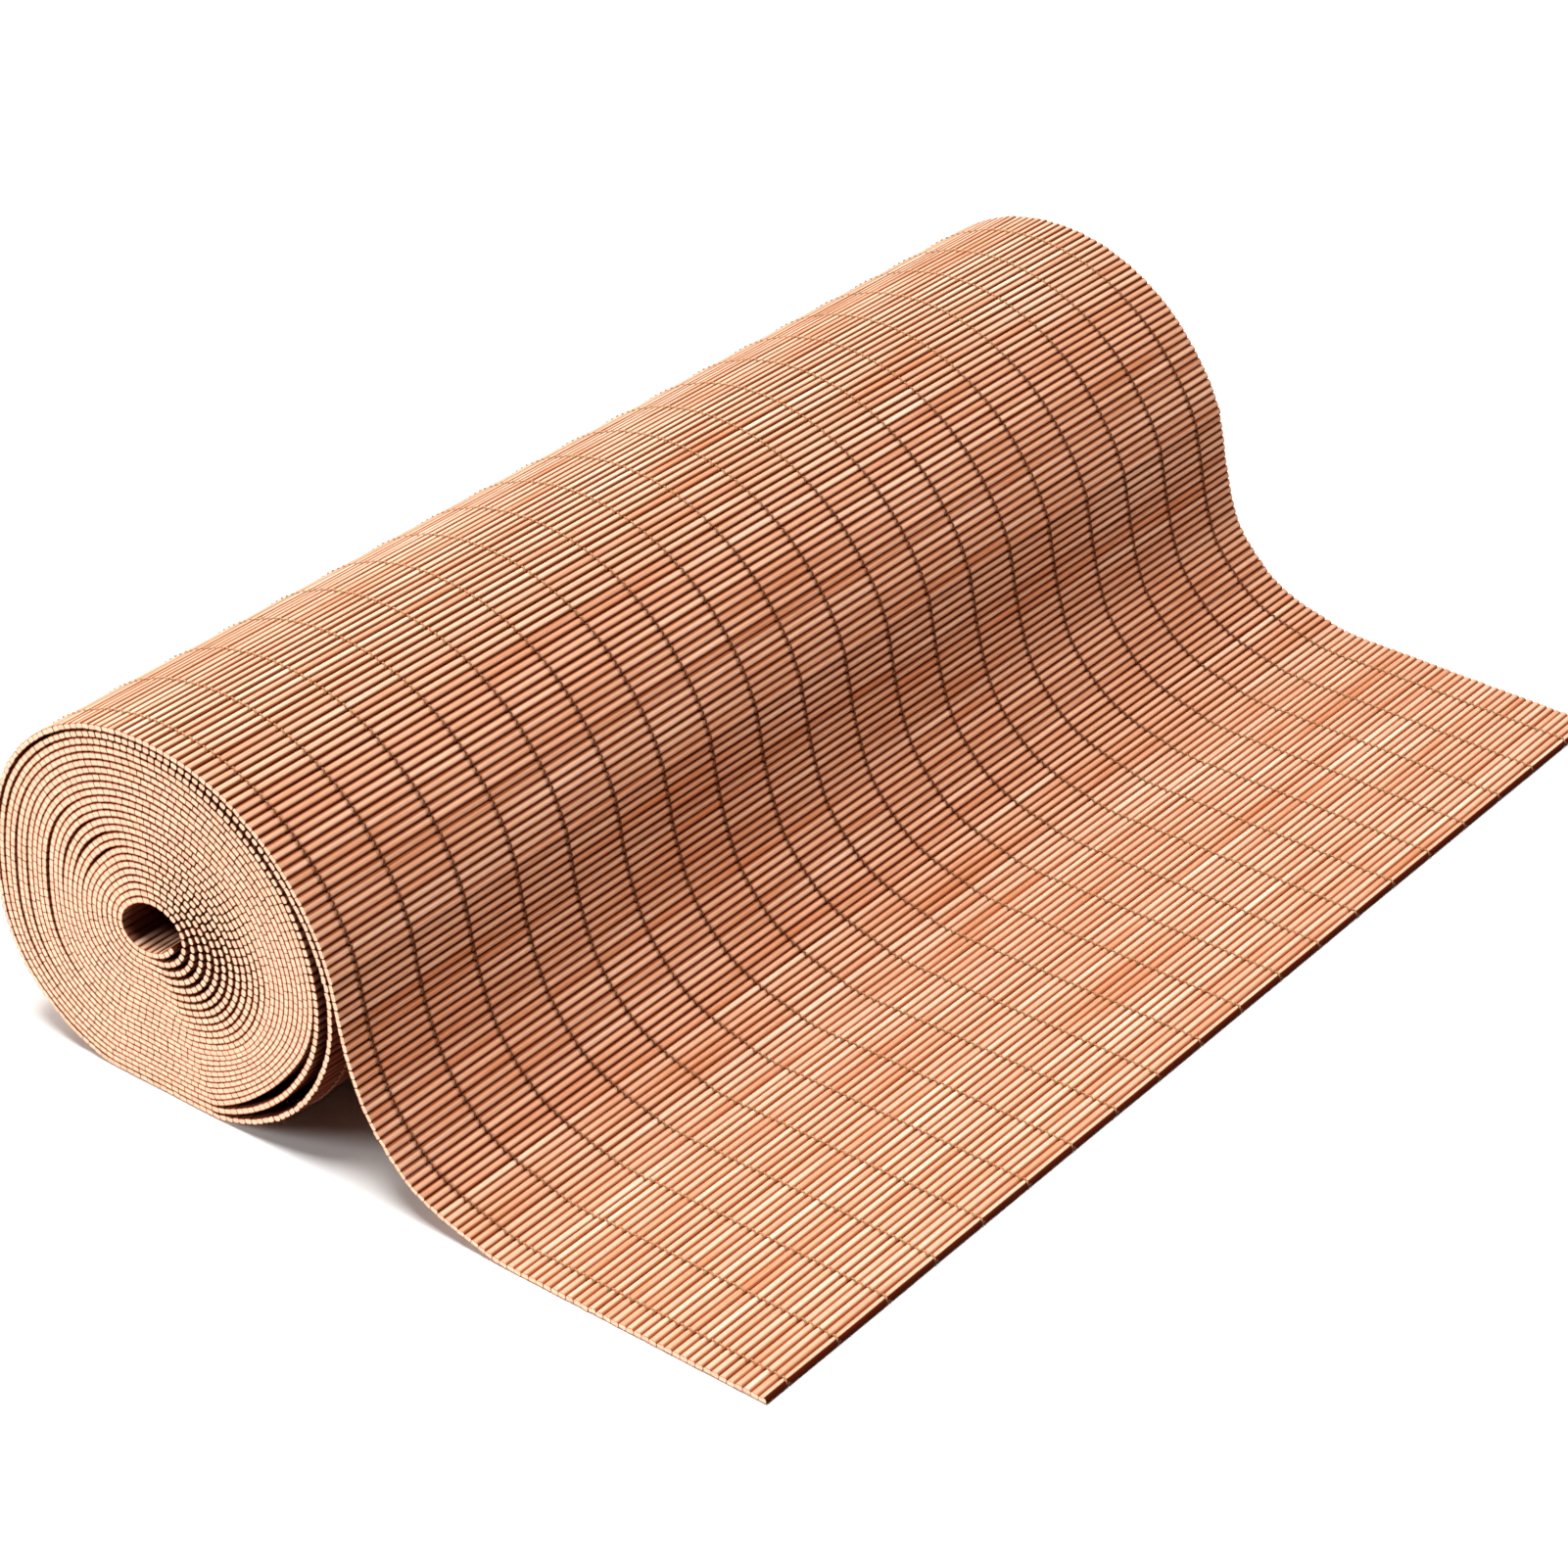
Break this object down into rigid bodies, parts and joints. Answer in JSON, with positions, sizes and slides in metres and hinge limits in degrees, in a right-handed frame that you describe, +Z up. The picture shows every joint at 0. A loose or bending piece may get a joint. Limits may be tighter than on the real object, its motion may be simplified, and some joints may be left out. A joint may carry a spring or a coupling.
{
  "type": "bamboo table runner",
  "caption": "Mat of thin stitched bamboo slats, tightly rolled, its loose end sweeping off the roll and lying flat.",
  "frame": {"origin": "on the surface that the runner rests on, below the middle of the roll and its loose end together", "axes": "+Y along the slats, away from the near end; +X from the roll to the cut end; +Z up"},
  "size_m": [0.1896, 0.3, 0.0793],
  "materials": {
    "wound_roll_bamboo": "satin",
    "loose_end_bamboo": "satin"
  },
  "bodies": {
    "root": {"wound_roll": "wound_roll_bamboo", "loose_end": "loose_end_bamboo"}
  },
  "joints": []
}
